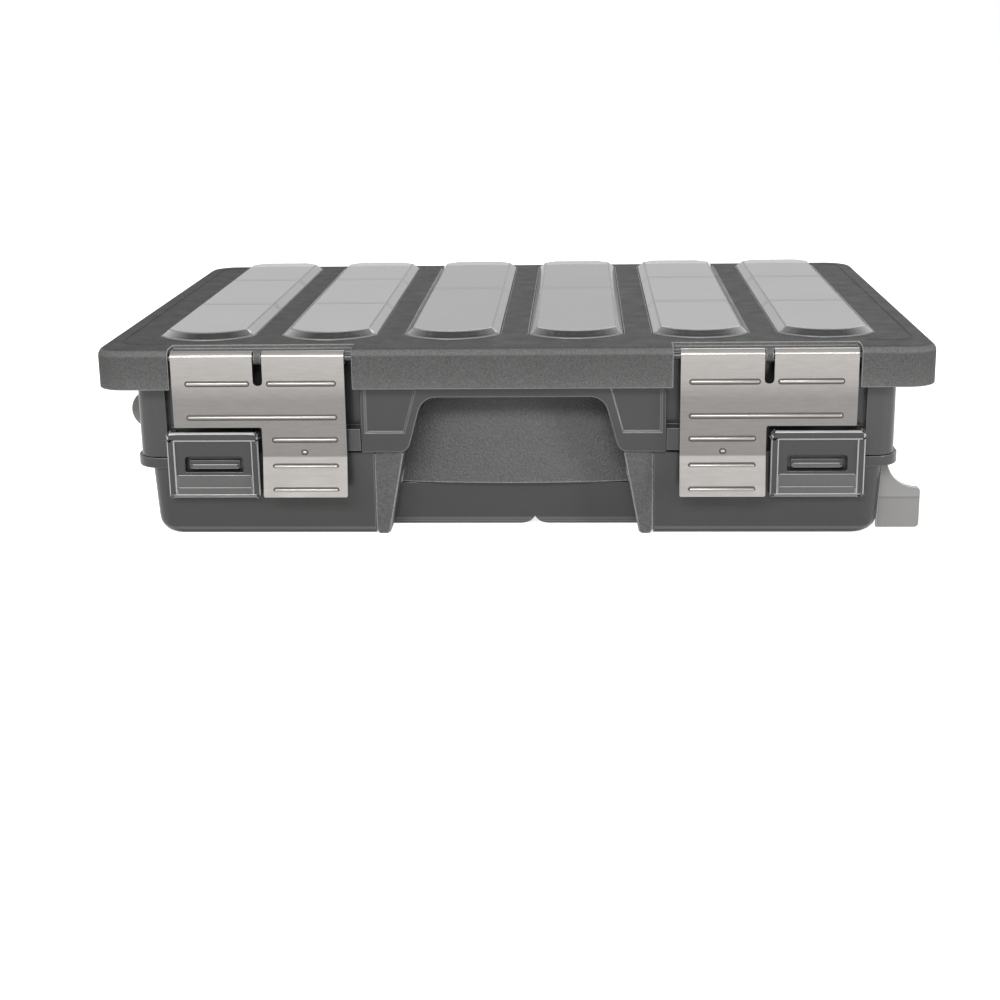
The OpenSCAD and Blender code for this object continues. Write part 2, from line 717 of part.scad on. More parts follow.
// The right half of the hand opening, from the rounded foot up its slanting side to the round top corner
function hand_half() =
    let (reach = hand_h - hand_r,
        foot_x = hand_foot_w / 2 + foot_round_r * (1 - sin(hand_slant)) / cos(hand_slant),
        top_x = hand_foot_w / 2 - (hand_r + reach * sin(hand_slant)) / cos(hand_slant))
    concat([[foot_x, frame_foot_z - overrun]],
        arc_points(foot_x, frame_foot_z + foot_round_r, foot_round_r, 270, 180 + hand_slant),
        arc_points(top_x, frame_arch_z - hand_r, hand_r, hand_slant, 90));

// Front view of the web: an upside-down U with slanting inner edges and round corners
module frame_outline() {
    half = hand_half();
    difference() {
        translate([-frame_half, frame_foot_z]) square([2 * frame_half, tray_top_z - frame_foot_z]);
        polygon(concat(half, [for (i = [len(half) - 1:-1:0]) [-half[i][0], half[i][1]]]));
    }
}

// Partition i of the tray, 1 to 5
module tray_wall(i) {
    x = tray_wall_xs[i - 1];
    front = (abs(x) < frame_half ? tray_bay_y : recess_y) + wall;
    back = body_back - wall;
    color([0.5, 0.5, 0.5]) union() {
        upright(x, [[front, tray_floor_z], [back, tray_floor_z], [back, partition_top_z],
            [front, partition_top_z]]);
        guide_ribs(x, tray_slots, tray_floor_z, partition_top_z - guide_w);
    }
}

// Loose divider i of the tray, 1 to 10
module tray_divider(i) {
    place = tray_divider_places[i - 1];
    column = place[0];
    y = tray_slots[place[1]];
    x1 = tray_edges[column] + (column == 0 ? 0 : partition_t / 2) + end_gap;
    x2 = tray_edges[column + 1] - (column == 5 ? 0 : partition_t / 2) - end_gap;
    color([0.55, 0.55, 0.55]) span([x1, y - divider_t / 2, tray_floor_z],
        [x2, y + divider_t / 2, partition_top_z - guide_w]);
}

// The round lug on the tray's left side
module side_lug() {
    y = body_front + window_pitch / 2;
    color([0.62, 0.62, 0.62]) intersection() {
        translate([-tray_w / 2, y + tab_t, lug_z]) rotate([90, 0, 0])
            cylinder(h = tab_t, r = lug_r, $fn = arc_fn);
        span([-tray_w / 2 - lug_r, y, tray_bottom_z], [-tray_w / 2, y + tab_t, tray_top_z]);
    }
}

// Pins and bars; side is -1 on the left and 1 on the right
module tray_hinge_pin(side) {
    color("silver") bar(side * hinge_x, hinge_y, deck_axis_z,
        knuckle_mid + 2 * (side_gap + knuckle_end), pin_r);
}

module lid_hinge_pin(side) {
    color("silver") bar(side * hinge_x, hinge_y, lid_axis_z,
        knuckle_mid + 2 * (side_gap + knuckle_end), pin_r);
}

module clasp_pin(side) {
    color("silver") bar(side * clasp_mid_x, clasp_axis_y, clasp_axis_z,
        clasp_out_x - clasp_in_x - 2 * seat_gap, clasp_pin_r);
}

module latch_bar(side) {
    x1 = cheek_in_x + seat_gap;
    x2 = pocket_out_x + cheek_t;
    color("silver") bar(side * (x1 + x2) / 2, latch_axis_y, latch_axis_z, x2 - x1, bar_r);
}

// Front view outline of a window, grown outward by the given amount
module window_plan(grow) {
    r = window_front_r + grow;
    half = window_w / 2 + grow;
    centre_y = window_front_y + window_front_r;
    back_y = window_back_y + grow;
    difference() {
        translate([-half, centre_y - r]) square([2 * half, back_y - centre_y + r]);
        difference() {
            translate([-half - overrun, centre_y - r - overrun]) square([2 * (half + overrun), r + overrun]);
            translate([0, centre_y]) circle(r = r, $fn = 2 * arc_fn);
        }
        for (side = [-1, 1])
            translate([side * half, back_y]) rotate(45) square(window_clip * sqrt(2), center = true);
    }
}

function window_x(i) = (i - (window_count + 1) / 2) * window_pitch;

// Clear window i, set in the lid with its raised flat above the lid's top
module window(i) {
    translate([window_x(i), 0, 0]) color([0.75, 0.75, 0.75]) difference() {
        hull() {
            translate([0, 0, lid_under_z]) linear_extrude(wall) window_plan(window_slope);
            translate([0, 0, lid_top_z + window_rise - flat_edge]) linear_extrude(flat_edge)
                window_plan(0);
        }
        hull() {
            translate([0, 0, lid_under_z - overrun]) linear_extrude(overrun + wall)
                window_plan(window_slope - pane);
            translate([0, 0, lid_top_z + window_rise - pane - flat_edge]) linear_extrude(flat_edge)
                window_plan(-pane);
        }
    }
}

// The lid: top, skirt, window openings, latch pockets, bar supports and rear knuckles
module lid_shell() {
    color([0.33, 0.33, 0.33]) difference() {
        union() {
            difference() {
                lid_block();
                translate([0, 0, skirt_z - overrun]) linear_extrude(lid_under_z - skirt_z + overrun)
                    rounded_plan(lid_w - 2 * wall, lid_d - 2 * wall, lid_front_r - wall, lid_back_r - wall);
                for (i = [1:window_count]) translate([window_x(i), 0, lid_under_z - overrun])
                    linear_extrude(wall + 2 * overrun) window_plan(window_slope + window_gap);
                for (side = [-1, 1]) {
                    side_span(side, pocket_in_x, pocket_out_x, latch_front - overrun, pocket_lip_y,
                        skirt_z - overrun, lid_top_z + overrun);
                    side_span(side, pocket_in_x, pocket_out_x, latch_front - overrun, pocket_y,
                        pocket_floor_z, lid_top_z + overrun);
                }
            }
            for (side = [-1, 1]) {
                latch_pocket(side);
                for (s = [-1, 1])
                    bar(side * hinge_x + s * (knuckle_mid / 2 + side_gap + knuckle_end / 2), hinge_y,
                        lid_axis_z, knuckle_end, knuckle_r);
            }
        }
        for (side = [-1, 1]) {
            bar(side * (cheek_in_x + pocket_out_x + cheek_t) / 2, latch_axis_y, latch_axis_z,
                pocket_out_x + cheek_t - cheek_in_x + overrun, bar_r + hold_gap);
            bar(side * hinge_x, hinge_y, lid_axis_z, knuckle_mid + 2 * (side_gap + knuckle_end) + overrun,
                pin_r + hold_gap);
            span([side * hinge_x - knuckle_mid / 2 - side_gap, body_back, skirt_z - overrun],
                [side * hinge_x + knuckle_mid / 2 + side_gap, hinge_y + knuckle_r + overrun,
                    lid_axis_z + knuckle_r + side_gap]);
        }
    }
}

// Floor, cheeks and middle hook of the pocket that a lid latch hangs in
module latch_pocket(side) {
    side_span(side, cheek_in_x, pocket_out_x + cheek_t, pocket_lip_y, pocket_y,
        pocket_floor_z - pocket_floor_t, pocket_floor_z);
    side_span(side, cheek_in_x, pocket_out_x + cheek_t, pocket_y, pocket_y + wall - 2 * seat_gap,
        pocket_floor_z - pocket_floor_t, lid_top_z - wall / 2);
    for (x = [cheek_in_x, pocket_out_x])
        side_span(side, x, x + cheek_t, lid_front + wall / 2, pocket_lip_y, latch_axis_z - cheek_drop,
            lid_under_z + wall / 2);
    hook_w = hook_slot_w - 2 * side_gap;
    bar(side * hook_x, latch_axis_y, latch_axis_z, hook_w, latch_roll_r - seat_gap);
    side_span(side, hook_x - hook_w / 2, hook_x + hook_w / 2, latch_axis_y, pocket_lip_y + overrun,
        latch_axis_z, pocket_floor_z);
}

// The lid latch: rolled top, stepped plate, slot, ribs, catch and flared finger tab
module lid_latch(side) {
    color([0.70, 0.69, 0.67]) difference() {
        union() {
            bar(side * (latch_in_x + latch_out_x) / 2, latch_axis_y, latch_axis_z, latch_out_x - latch_in_x,
                latch_roll_r);
            side_span(side, latch_in_x, latch_out_x, latch_front, latch_front + latch_t, latch_step_z,
                latch_axis_z);
            side_span(side, latch_in_x, latch_neck_x, latch_front, latch_front + latch_t, latch_bend_z,
                latch_step_z);
            finger_tab(side);
            latch_ribs(side);
            side_span(side, latch_in_x + catch_margin, latch_neck_x - catch_margin, latch_front + latch_t / 2,
                keeper_front - seat_gap, latch_bend_z - catch_h + overrun / 2, latch_bend_z + overrun / 2);
        }
        bar(side * (latch_in_x + latch_out_x) / 2, latch_axis_y, latch_axis_z, latch_out_x, bar_r + run_gap);
        side_span(side, hook_x - hook_slot_w / 2, hook_x + hook_slot_w / 2, latch_front - overrun,
            latch_axis_y + latch_roll_r + overrun, hook_slot_z + hook_slot_w / 2,
            latch_axis_z + latch_roll_r + overrun);
        translate([side * hook_x, latch_front + latch_t + overrun, hook_slot_z + hook_slot_w / 2])
            rotate([90, 0, 0]) cylinder(h = latch_t + 2 * overrun, r = hook_slot_w / 2, $fn = round_fn);
    }
}

// The tab below the bend, leaning outward
module finger_tab(side) {
    x1 = min(side * latch_in_x, side * latch_neck_x);
    translate([x1, 0, 0]) rotate([90, 0, 90]) linear_extrude(latch_neck_x - latch_in_x)
        polygon([[latch_front, latch_bend_z], [latch_front + latch_t, latch_bend_z],
            [latch_front + latch_t - tab_flare, latch_foot_z], [latch_front - tab_flare, latch_foot_z]]);
}

// Raised ribs across the latch, with their heights taken from the plate's own levels
module latch_ribs(side) {
    in_x = latch_in_x + catch_margin + rib_r;
    wide_x = latch_out_x - 2 * catch_margin;
    narrow_x = latch_neck_x - catch_margin - 2 * rib_r;
    rib_pitch = (latch_bend_z - latch_foot_z) * rib_pitch_share;
    upper_z = latch_step_z + latch_roll_r + rib_above_step;
    top_z = hook_slot_z + rib_above_slot;
    rib(side, in_x, hook_x - hook_slot_w, top_z, 0);
    rib(side, hook_x + hook_slot_w, wide_x, top_z, 0);
    rib(side, in_x, wide_x, upper_z, 0);
    rib(side, in_x, narrow_x, upper_z - rib_pitch, 0);
    for (z = [latch_bend_z - latch_roll_r, latch_foot_z + latch_roll_r])
        rib(side, in_x, narrow_x, z, (latch_bend_z - z) / (latch_bend_z - latch_foot_z) * tab_flare);
}

module rib(side, x1, x2, z, out) {
    bar(side * (x1 + x2) / 2, latch_front - out + rib_r / 3, z, x2 - x1, rib_r);
}

// The deck latch: barrel, plate with a catch window, side rails and a lower lip
module deck_latch(side) {
    barrel = 2 * clasp_barrel_half;
    top_z = clasp_axis_z + clasp_roll_r;
    low_z = clasp_axis_z - clasp_roll_r - side_gap;
    color([0.30, 0.30, 0.30]) difference() {
        union() {
            bar(side * clasp_mid_x, clasp_axis_y, clasp_axis_z, barrel, clasp_roll_r);
            side_span(side, clasp_mid_x - clasp_barrel_half, clasp_mid_x + clasp_barrel_half, clasp_front,
                clasp_back, clasp_foot_z, top_z);
            side_span(side, clasp_in_x, clasp_out_x, clasp_front, clasp_back, clasp_foot_z, low_z);
            for (x = [clasp_in_x, clasp_out_x - clasp_rail_w])
                side_span(side, x, x + clasp_rail_w, clasp_front - rail_proud, rail_back, clasp_foot_z,
                    top_z);
            side_span(side, clasp_in_x, clasp_out_x, clasp_front - clasp_step_h, clasp_back, clasp_foot_z,
                clasp_window_z - seat_gap);
            side_span(side, clasp_in_x, clasp_out_x, clasp_front - rail_proud, clasp_back, clasp_foot_z,
                clasp_foot_z + clasp_step_h);
        }
        bar(side * clasp_mid_x, clasp_axis_y, clasp_axis_z, clasp_out_x - clasp_in_x, clasp_pin_r + run_gap);
        side_span(side, clasp_mid_x - clasp_window_w / 2, clasp_mid_x + clasp_window_w / 2,
            clasp_front - overrun, clasp_back + overrun, clasp_window_z, clasp_window_z + clasp_window_h);
    }
}

tub_shell();
grip();
for (i = [1:3]) tub_wall(i);
for (i = [1:4]) tub_divider(i);
side_tab();
tray_shell();
tray_floor();
handle_frame();
for (i = [1:5]) tray_wall(i);
for (i = [1:10]) tray_divider(i);
side_lug();
tray_hinge_pin(-1);  // tray_hinge_pin_left
tray_hinge_pin(1);  // tray_hinge_pin_right
clasp_pin(-1);  // clasp_pin_left
clasp_pin(1);  // clasp_pin_right
lid_shell();
for (i = [1:6]) window(i);
lid_hinge_pin(-1);  // lid_hinge_pin_left
lid_hinge_pin(1);  // lid_hinge_pin_right
latch_bar(-1);  // latch_bar_left
latch_bar(1);  // latch_bar_right
lid_latch(-1);  // lid_latch_left
lid_latch(1);  // lid_latch_right
deck_latch(-1);  // deck_latch_left
deck_latch(1);  // deck_latch_right
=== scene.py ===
# %% [markdown]
# # A two-deck tackle case, dressed in Blender
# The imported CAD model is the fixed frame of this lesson: every wall, latch and pin already
# stands where it belongs. Blender adds what the solids lack: moulded plastic with its grain,
# satin metal, see-through windows and soft edges. Everything is in metres.

# %% Load the frame
import json
import math

import bmesh
import bpy
from mathutils import Matrix, Vector


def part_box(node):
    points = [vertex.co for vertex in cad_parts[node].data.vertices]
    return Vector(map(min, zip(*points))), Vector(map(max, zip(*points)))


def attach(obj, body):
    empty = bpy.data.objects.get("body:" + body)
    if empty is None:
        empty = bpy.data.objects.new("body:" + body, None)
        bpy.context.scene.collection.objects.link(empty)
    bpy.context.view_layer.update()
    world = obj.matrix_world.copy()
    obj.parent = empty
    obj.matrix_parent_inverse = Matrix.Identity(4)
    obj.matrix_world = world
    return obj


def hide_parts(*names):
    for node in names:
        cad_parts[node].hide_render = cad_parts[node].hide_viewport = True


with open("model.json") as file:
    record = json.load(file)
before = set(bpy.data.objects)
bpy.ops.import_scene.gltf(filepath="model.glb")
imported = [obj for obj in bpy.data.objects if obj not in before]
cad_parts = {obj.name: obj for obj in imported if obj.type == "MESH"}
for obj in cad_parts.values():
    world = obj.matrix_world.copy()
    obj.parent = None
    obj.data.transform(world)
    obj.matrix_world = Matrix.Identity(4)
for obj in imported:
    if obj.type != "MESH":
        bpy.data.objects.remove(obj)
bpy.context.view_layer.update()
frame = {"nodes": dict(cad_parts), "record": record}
mm = 0.001

# %% [markdown]
# ## Camera
# The case was photographed from a little above its front edge, slightly to the right of its
# middle. A camera can be aimed with a Track To constraint, but three plain angles and a place
# are easier to check, so its axes are built from yaw, pitch and roll.

# %% Aim the camera
yaw, pitch, roll = -0.049, 0.2749, 0.0148
eye = (0.02803, -0.8105, 0.2105)
lens_mm, sensor_mm = 61.153, 36
ahead = Vector((math.sin(yaw) * math.cos(pitch), math.cos(yaw) * math.cos(pitch), -math.sin(pitch)))
level = Vector((math.cos(yaw), -math.sin(yaw), 0))
under = ahead.cross(level)
right = level * math.cos(roll) + under * math.sin(roll)
up = level * math.sin(roll) - under * math.cos(roll)

camera_data = bpy.data.cameras.new("camera")
camera_data.sensor_width = sensor_mm
camera_data.lens = lens_mm
camera_data.clip_start = 0.05
camera = bpy.data.objects.new("camera", camera_data)
bpy.context.scene.collection.objects.link(camera)
turn = Matrix((right, up, -ahead)).transposed().to_4x4()
camera.matrix_world = Matrix.Translation(eye) @ turn
bpy.context.scene.camera = camera
print("camera", tuple(round(v, 3) for v in camera.location))

# %% [markdown]
# ## Small helpers for materials
# A procedural material is a chain of nodes: a pattern on Object coordinates drives colour,
# roughness and bump. These helpers keep the chains short enough to read. The first ones only
# make nodes and link them.

# %% Node helpers
def node(tree, kind, **inputs):
    made = tree.nodes.new(kind)
    for name, value in inputs.items():
        made.inputs[name.replace("_", " ")].default_value = value
    return made


def maths(tree, operation, *values, clamp=False):
    """One Math node. Each value is a number or the output of another node."""
    made = tree.nodes.new("ShaderNodeMath")
    made.operation = operation
    made.use_clamp = clamp
    for socket, value in zip(made.inputs, values):
        if isinstance(value, (int, float)):
            socket.default_value = value
        else:
            tree.links.new(value, socket)
    return made.outputs[0]


def product(tree, first, second):
    """One colour or pattern times another."""
    made = tree.nodes.new("ShaderNodeVectorMath")
    made.operation = "MULTIPLY"
    tree.links.new(first, made.inputs[0])
    tree.links.new(second, made.inputs[1])
    return made.outputs[0]


def place_along(tree, axis):
    """The X, Y or Z of the surface, in metres."""
    place = tree.nodes.new("ShaderNodeTexCoord")
    axes = tree.nodes.new("ShaderNodeSeparateXYZ")
    tree.links.new(place.outputs["Object"], axes.inputs[0])
    return axes.outputs[axis]


def new_material(name):
    material = bpy.data.materials.new(name)
    material.use_nodes = True
    tree = material.node_tree
    tree.nodes.clear()
    output = tree.nodes.new("ShaderNodeOutputMaterial")
    shader = tree.nodes.new("ShaderNodeBsdfPrincipled")
    tree.links.new(shader.outputs[0], output.inputs["Surface"])
    return material, tree, shader


print("node helpers ready")

# %% [markdown]
# The next ones make patterns: a noise with grains of a known size, a range of greys or
# colours from it, a relief, and a change of tone with height, which is painted light and
# shade: it stands for how the lamps fall on a part at each height.

# %% Pattern helpers
def grain(tree, size, detail=3.0, stretch=(1, 1, 1)):
    """A noise pattern whose grains are about the given size in metres."""
    place = tree.nodes.new("ShaderNodeTexCoord")
    mapping = tree.nodes.new("ShaderNodeMapping")
    mapping.inputs["Scale"].default_value = stretch
    noise = node(tree, "ShaderNodeTexNoise", Scale=1 / size, Detail=detail, Roughness=0.55)
    tree.links.new(place.outputs["Object"], mapping.inputs["Vector"])
    tree.links.new(mapping.outputs[0], noise.inputs["Vector"])
    return noise.outputs["Fac"]


def spread(tree, fac, low, high):
    """Turns the middle of a 0 to 1 pattern into a range of greys, colours or numbers."""
    ramp = tree.nodes.new("ShaderNodeValToRGB")
    for element, stop, value in zip(ramp.color_ramp.elements, (0.3, 0.7), (low, high)):
        element.position = stop
        element.color = (*value, 1) if isinstance(value, tuple) else (value, value, value, 1)
    tree.links.new(fac, ramp.inputs["Fac"])
    return ramp.outputs["Color"]


def bump(tree, shader, fac, depth):
    relief = node(tree, "ShaderNodeBump", Distance=depth)
    tree.links.new(fac, relief.inputs["Height"])
    tree.links.new(relief.outputs[0], shader.inputs["Normal"])


def paint_light_by_height(tree, colour, painted_light_bands):
    """Scales a colour by height, which paints light and shade on it. Bands are (height in metres,
    share) pairs, from low to high.
    """
    low, high = painted_light_bands[0][0], painted_light_bands[-1][0]
    most = max(share for _, share in painted_light_bands)
    level = node(tree, "ShaderNodeMapRange", From_Min=low, From_Max=high)
    ramp = tree.nodes.new("ShaderNodeValToRGB")
    while len(ramp.color_ramp.elements) < len(painted_light_bands):
        ramp.color_ramp.elements.new(0.5)
    for element, (height, share) in zip(ramp.color_ramp.elements, painted_light_bands):
        element.position = (height - low) / (high - low)
        element.color = (share / most, share / most, share / most, 1)
    tree.links.new(place_along(tree, "Z"), level.inputs["Value"])
    tree.links.new(level.outputs[0], ramp.inputs["Fac"])
    scaled = tree.nodes.new("ShaderNodeVectorMath")
    scaled.operation = "SCALE"
    scaled.inputs["Scale"].default_value = most
    tree.links.new(product(tree, colour, ramp.outputs["Color"]), scaled.inputs[0])
    return scaled.outputs[0]


print("pattern helpers ready")

# %% [markdown]
# ## Moulded smoke plastic
# All the plastic of the case is one family: smoke grey, some of it sparked to a fine grain,
# some polished. One function with a few named choices makes each of its finishes. Three
# noises share the work: a wide cloud for the tone, a fine grain for flecks and relief, and
# smudges for the gloss.

# %% Smoke plastic
cloud_size, smudge_size = 0.03, 0.009
plastic_ior, coat_roughness = 1.49, 0.08


def plastic(name, shade, roughness, grain_size, grain_depth, mottle=0.05, speckle=0.0,
            specular=0.5, tint=(1.0, 0.995, 0.985), coat=0.0, painted_light_bands=()):
    material, tree, shader = new_material(name)
    low = tuple(shade * (1 - mottle) * c for c in tint)
    high = tuple(shade * (1 + mottle) * c for c in tint)
    cloud = grain(tree, cloud_size)
    fine = grain(tree, grain_size)
    smudge = grain(tree, smudge_size, detail=2.0)
    colour = product(tree, spread(tree, cloud, low, high), spread(tree, fine, 1 - speckle, 1.0))
    # Height bands, where given, paint light and shade on the colour.
    if painted_light_bands:
        colour = paint_light_by_height(tree, colour, painted_light_bands)
    gloss = spread(tree, smudge, roughness * 0.85, roughness * 1.15)
    tree.links.new(colour, shader.inputs["Base Color"])
    tree.links.new(gloss, shader.inputs["Roughness"])
    shader.inputs["Specular IOR Level"].default_value = specular
    shader.inputs["IOR"].default_value = plastic_ior
    shader.inputs["Coat Weight"].default_value = coat
    shader.inputs["Coat Roughness"].default_value = coat_roughness
    bump(tree, shader, fine, grain_depth)
    return material


print("smoke plastic ready")

# %% Plastic finishes
# Each line gives shade, roughness, grain size and grain depth.
# The lid's height bands are painted light and shade: a paler skirt towards its bottom edge, a
# painted highlight along the rounded top edge and a painted darker top.
lid_texture = plastic(
    "lid_texture", 0.088, 0.46, 0.0006, 0.00040, mottle=0.015, speckle=0.42, specular=0.02,
    painted_light_bands=((0.0644, 1.35), (0.070, 1.12), (0.0782, 1.0), (0.0790, 1.5), (0.0806, 1.5),
           (0.0812, 0.88), (0.0814, 0.88)))
tray_plastic = plastic("tray_plastic", 0.034, 0.20, 0.004, 0.00003)
frame_plastic = plastic("frame_plastic", 0.028, 0.22, 0.003, 0.00004, specular=0.45)
# The tub's height bands are painted light and shade: darker just above the floor, a painted bright
# line 2 to 3 mm up and paler towards the rim ledge.
tub_plastic = plastic(
    "tub_plastic", 0.028, 0.22, 0.004, 0.00003, specular=0.45, tint=(1.03, 1.0, 0.985),
    painted_light_bands=((0.0, 0.9), (0.0016, 0.8), (0.0022, 2.3), (0.0030, 2.3), (0.0036, 1.0),
           (0.020, 0.95), (0.036, 1.2)))
grip_leather = plastic("grip_leather", 0.071, 0.40, 0.0008, 0.00045, speckle=0.45, specular=0.40)
divider_plastic = plastic("divider_plastic", 0.14, 0.32, 0.03, 0.00001)
# The side tab's height bands are painted shade: a darker strip 13 to 13.6 mm up, a little paler
# above it.
tab_plastic = plastic(
    "tab_plastic", 0.17, 0.34, 0.03, 0.00001, tint=(1.0, 0.99, 0.96),
    painted_light_bands=((0.0, 0.92), (0.0128, 0.92), (0.0130, 0.70), (0.0136, 0.70), (0.0138, 1.05),
           (0.028, 1.0)))
clasp_plastic = plastic("clasp_plastic", 0.020, 0.10, 0.005, 0.00002, coat=0.2)
# The second deck latch finish is a paler copy of the same plastic: painted light on the latches'
# lower steps and on the bar over each tongue.
clasp_lit_plastic = plastic("clasp_lit_plastic", 0.058, 0.10, 0.005, 0.00002, coat=0.2)
window_plastic = plastic(
    "window_plastic", 0.38, 0.07, 0.02, 0.00002, mottle=0.02, specular=0.6)
# The middle panes' copy is a shade darker than the others: painted shade.
window_one_line = plastic(
    "window_one_line", 0.31, 0.07, 0.02, 0.00002, mottle=0.02, specular=0.6)
print(len(bpy.data.materials), "plastic finishes")

# %% [markdown]
# The rounding of each edge gets a paler version of its plastic: a painted highlight that stands
# for the lamps caught in the rounding, so every edge looks paler than the face beside it.

# %% Paler edges: painted highlights
painted_edge_of = {
    lid_texture: plastic("lid_edge", 0.19, 0.35, 0.0008, 0.0002, speckle=0.30, specular=0.3),
    tray_plastic: plastic("tray_edge", 0.10, 0.20, 0.004, 0.00003),
    frame_plastic: plastic("frame_edge", 0.078, 0.20, 0.003, 0.00003),
    tub_plastic: plastic("tub_edge", 0.085, 0.20, 0.004, 0.00003),
    grip_leather: plastic("grip_edge", 0.20, 0.35, 0.0008, 0.0004, speckle=0.45),
    tab_plastic: plastic("tab_edge_highlight", 0.42, 0.20, 0.004, 0.00003),
    clasp_plastic: plastic("clasp_edge_highlight", 0.26, 0.10, 0.005, 0.00002, coat=0.3),
    clasp_lit_plastic: plastic("clasp_lit_edge_highlight", 0.20, 0.10, 0.005, 0.00002, coat=0.3),
}
# The panes' roundings get a darker finish instead: a painted dark rim.
for clear_one in (window_plastic, window_one_line):
    painted_edge_of[clear_one] = plastic(clear_one.name + "_edge", 0.17, 0.16, 0.02, 0.00002, specular=0.35)
print(len(painted_edge_of), "edge finishes")

# %% [markdown]
# ## See-through windows
# Smooth clear plastic shows what lies behind it where you look straight in, and more and more
# of its own pale surface as the view grazes it. Layer Weight gives that change, and Backfacing
# keeps the pane's inner side from adding a second pale layer. The edges of the dividers under
# the windows show through as pairs of thin dark lines, drawn here across each pane.

# %% Window material
# Straight in, a pane covers about half of what is behind it and adds little of its own colour.
facing_alpha, grazing_alpha = 0.55, 0.92
facing_colour = 0.08
steep, grazing = 0.25, 0.62
inner_left = 0.04
line_half = 0.6 * mm


def see_through(material, lines):
    tree = material.node_tree
    shader = next(n for n in tree.nodes if n.type == "BSDF_PRINCIPLED")
    weight = node(tree, "ShaderNodeLayerWeight", Blend=0.5)
    share = node(tree, "ShaderNodeMapRange", From_Min=steep, From_Max=grazing)
    alpha = node(tree, "ShaderNodeMapRange", To_Min=facing_alpha, To_Max=grazing_alpha)
    depth = node(tree, "ShaderNodeMapRange", To_Min=facing_colour, To_Max=1.0)
    tree.links.new(weight.outputs["Facing"], share.inputs["Value"])
    tree.links.new(share.outputs[0], alpha.inputs["Value"])
    tree.links.new(share.outputs[0], depth.inputs["Value"])
    backfacing = tree.nodes.new("ShaderNodeNewGeometry").outputs["Backfacing"]
    outside = maths(tree, "SUBTRACT", 1 + inner_left, backfacing, clamp=True)
    covering = maths(tree, "MULTIPLY", alpha.outputs[0], outside)
    tree.links.new(covering, shader.inputs["Alpha"])

    along = place_along(tree, "Y")
    shadows = [maths(tree, "MULTIPLY", maths(tree, "COMPARE", along, y, line_half), strength)
               for y, strength in lines]
    total = shadows[0]
    for shadow in shadows[1:]:
        total = maths(tree, "ADD", total, shadow)
    lit_share = maths(tree, "SUBTRACT", 1.0, total)
    colour = shader.inputs["Base Color"].links[0].from_socket
    colour = product(tree, product(tree, colour, depth.outputs[0]), lit_share)
    tree.links.new(colour, shader.inputs["Base Color"])


def line_pair(front_mm):
    """The two lines of a divider, each with its place along Y and its strength."""
    apart_mm, front_strength, back_strength = 4, 0.80, 0.50
    return [(front_mm * mm, front_strength), ((front_mm + apart_mm) * mm, back_strength)]


see_through(window_plastic, line_pair(-26) + line_pair(49.5))
see_through(window_one_line, line_pair(17))
print("windows see-through")

# %% [markdown]
# ## Satin silver
# The lid latches are warm silver with a very fine satin grain, drawn out along the plate.
# Stretching a noise pattern along one axis gives that drawn look without an image.

# %% Metal finishes
satin_size, satin_depth, wear_size = 0.0012, 0.00001, 0.012


def metal(name, colour, roughness, stretch, painted_light_bands=()):
    material, tree, shader = new_material(name)
    shader.inputs["Metallic"].default_value = 1.0
    low = tuple(c * 0.90 for c in colour)
    streaks = grain(tree, satin_size, stretch=stretch)
    cloud = grain(tree, wear_size)
    shine = spread(tree, streaks, low, colour)
    # Height bands, where given, paint reflections on the metal.
    if painted_light_bands:
        shine = paint_light_by_height(tree, shine, painted_light_bands)
    gloss = spread(tree, cloud, roughness * 0.88, roughness * 1.12)
    tree.links.new(shine, shader.inputs["Base Color"])
    tree.links.new(gloss, shader.inputs["Roughness"])
    bump(tree, shader, streaks, satin_depth)
    return material


# The latch's height bands are painted reflection: darker along the middle of the plate, paler on
# the finger tab and towards the rolled top.
latch_silver = metal(
    "latch_silver", (0.43, 0.412, 0.395), 0.34, (0.15, 1, 1),
    painted_light_bands=((0.019, 0.95), (0.0358, 0.92), (0.0364, 0.50), (0.044, 0.52), (0.060, 0.52),
           (0.068, 0.76), (0.081, 0.86)))
rib_silver = metal("rib_silver", (0.36, 0.345, 0.33), 0.38, (0.2, 1, 1))
rib_shadow = metal("rib_shadow", (0.095, 0.09, 0.085), 0.40, (0.2, 1, 1))
pin_steel = metal("pin_steel", (0.52, 0.52, 0.52), 0.25, (0.2, 1, 1))
print(len(bpy.data.materials), "materials")

# %% [markdown]
# ## Give the CAD nodes their finishes
# A CAD node keeps its mesh; only its material slots change. The two middle windows have one
# pair of lines each, and the others have two.

# %% Assign the finishes
finish_of_slot = {
    "lid_smoke": lid_texture, "window_clear": window_plastic, "tray_smoke": tray_plastic,
    "frame_smoke": frame_plastic, "tub_smoke": tub_plastic, "grip_texture": grip_leather,
    "divider_smoke": divider_plastic, "tab_clear": tab_plastic, "latch_silver": latch_silver,
    "deck_latch_smoke": clasp_plastic, "pin_steel": pin_steel,
}
slot_of_node = {part["node"]: part["material_slot"] for part in frame["record"]["subparts"]}
for name, cad_object in frame["nodes"].items():
    cad_object.data.materials.clear()
    cad_object.data.materials.append(finish_of_slot[slot_of_node[name]])
for name in ("window_3", "window_4"):
    frame["nodes"][name].data.materials[0] = window_one_line
print("finished", len(slot_of_node), "nodes")

# %% [markdown]
# ## Finishing a piece
# Every new piece starts as a bmesh and ends the same way: as an object with smooth shading, a
# Solidify modifier where it is a sheet, and a Bevel with weighted normals on its sharp edges.
# Small edges in a dense mesh would shrink a clamped bevel to nothing, so the bevels that give
# the rounding its own material slot, which carries the painted edge finish, aren't clamped.

